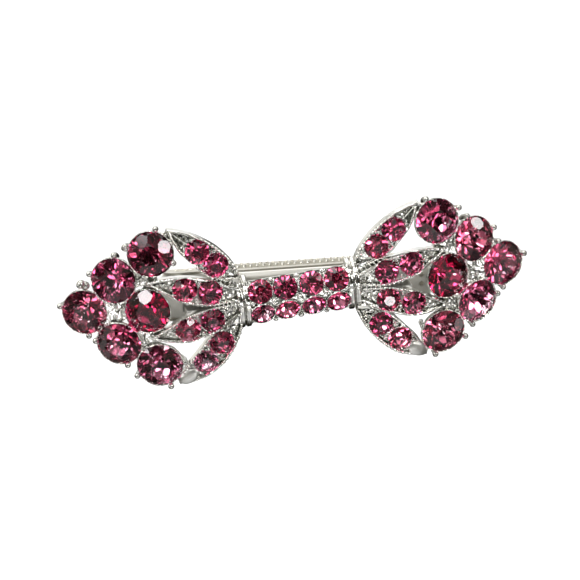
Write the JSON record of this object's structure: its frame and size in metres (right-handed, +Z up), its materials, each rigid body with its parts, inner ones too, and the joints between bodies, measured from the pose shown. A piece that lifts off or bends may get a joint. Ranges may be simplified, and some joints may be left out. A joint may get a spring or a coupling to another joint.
{
  "type": "hair clip",
  "caption": "Bow-shaped barrette: two openwork cast wings and a barrel knot set with rose-pink glass stones, on an automatic spring barrette with a hinged locking arm.",
  "frame": {"origin": "middle of the space that holds the hair, between the base plate and the locking arm, at the middle of the knot", "axes": "+X along the clip towards the hinge end, +Z up as worn in the picture's view, decorative face towards -Y and barrette towards +Y"},
  "size_m": [0.0646, 0.0077, 0.023],
  "materials": {
    "bright_rhodium": "bright polished plated casting with beaded rims",
    "rose_glass": "foil-backed faceted glass, dusty rose",
    "ruby_glass": "foil-backed faceted glass, ruby fuchsia",
    "nickel_steel": "nickel-plated spring steel, lightly brushed, warm",
    "solder": "dull soft solder"
  },
  "bodies": {
    "bow": {"right_wing_casting": "bright_rhodium", "left_wing_casting": "bright_rhodium", "knot_casting": "bright_rhodium", "right_stone_top": "rose_glass", "right_stone_upper": "rose_glass", "right_stone_tip": "rose_glass", "right_stone_lower": "rose_glass", "right_stone_bottom": "rose_glass", "right_stone_center": "ruby_glass", "right_chip_1_outer": "rose_glass", "right_chip_1_inner": "rose_glass", "right_chip_2_outer": "rose_glass", "right_chip_2_inner": "rose_glass", "right_chip_3_inner": "rose_glass", "right_chip_3_outer": "rose_glass", "right_chip_4_inner": "rose_glass", "right_chip_4_outer": "rose_glass", "left_stone_top": "rose_glass", "left_stone_upper": "rose_glass", "left_stone_tip": "rose_glass", "left_stone_lower": "rose_glass", "left_stone_bottom": "rose_glass", "left_stone_center": "ruby_glass", "left_chip_1_outer": "rose_glass", "left_chip_1_inner": "rose_glass", "left_chip_2_outer": "rose_glass", "left_chip_2_inner": "rose_glass", "left_chip_3_inner": "rose_glass", "left_chip_3_outer": "rose_glass", "left_chip_4_inner": "rose_glass", "left_chip_4_outer": "rose_glass", "knot_chip_top_1": "rose_glass", "knot_chip_bottom_1": "rose_glass", "knot_chip_top_2": "rose_glass", "knot_chip_bottom_2": "rose_glass", "knot_chip_top_3": "rose_glass", "knot_chip_bottom_3": "rose_glass", "knot_chip_top_4": "rose_glass", "knot_chip_bottom_4": "rose_glass", "solder_pad_left": "solder", "solder_pad_right": "solder", "base_plate": "nickel_steel", "hinge_pin": "nickel_steel"},
    "locking_arm": {"locking_arm": "nickel_steel"},
    "tension_strip": {"tension_strip": "nickel_steel"},
    "clasp_tab_top": {"clasp_tab_top": "nickel_steel"},
    "clasp_tab_bottom": {"clasp_tab_bottom": "nickel_steel"}
  },
  "joints": [
    {"name": "arm_hinge", "type": "hinge", "parent": "bow", "child": "locking_arm", "pos_m": [0.01758, 0.00095, -0.00089], "axis": [-0.0506, 0, -0.9987], "range_deg": [0, 55]},
    {"name": "strip_lift", "type": "hinge", "parent": "bow", "child": "tension_strip", "pos_m": [0.01758, 0.00095, -0.00089], "axis": [-0.0506, 0, -0.9987], "range_deg": [0, 8.25]},
    {"name": "tab_top_squeeze", "type": "hinge", "parent": "bow", "child": "clasp_tab_top", "pos_m": [-0.01489, -0.0001, 0.00254], "axis": [-0.9987, 0, 0.0506], "range_deg": [0, 5], "stiffness_Nm_per_rad": 0.05},
    {"name": "tab_bottom_squeeze", "type": "hinge", "parent": "bow", "child": "clasp_tab_bottom", "pos_m": [-0.01507, -0.0001, -0.00102], "axis": [0.9987, 0, -0.0506], "range_deg": [0, 5]}
  ],
  "couplings": [
    {"joint": "strip_lift", "follows": "arm_hinge", "ratio": 0.15},
    {"joint": "tab_bottom_squeeze", "follows": "tab_top_squeeze", "ratio": 1}
  ]
}
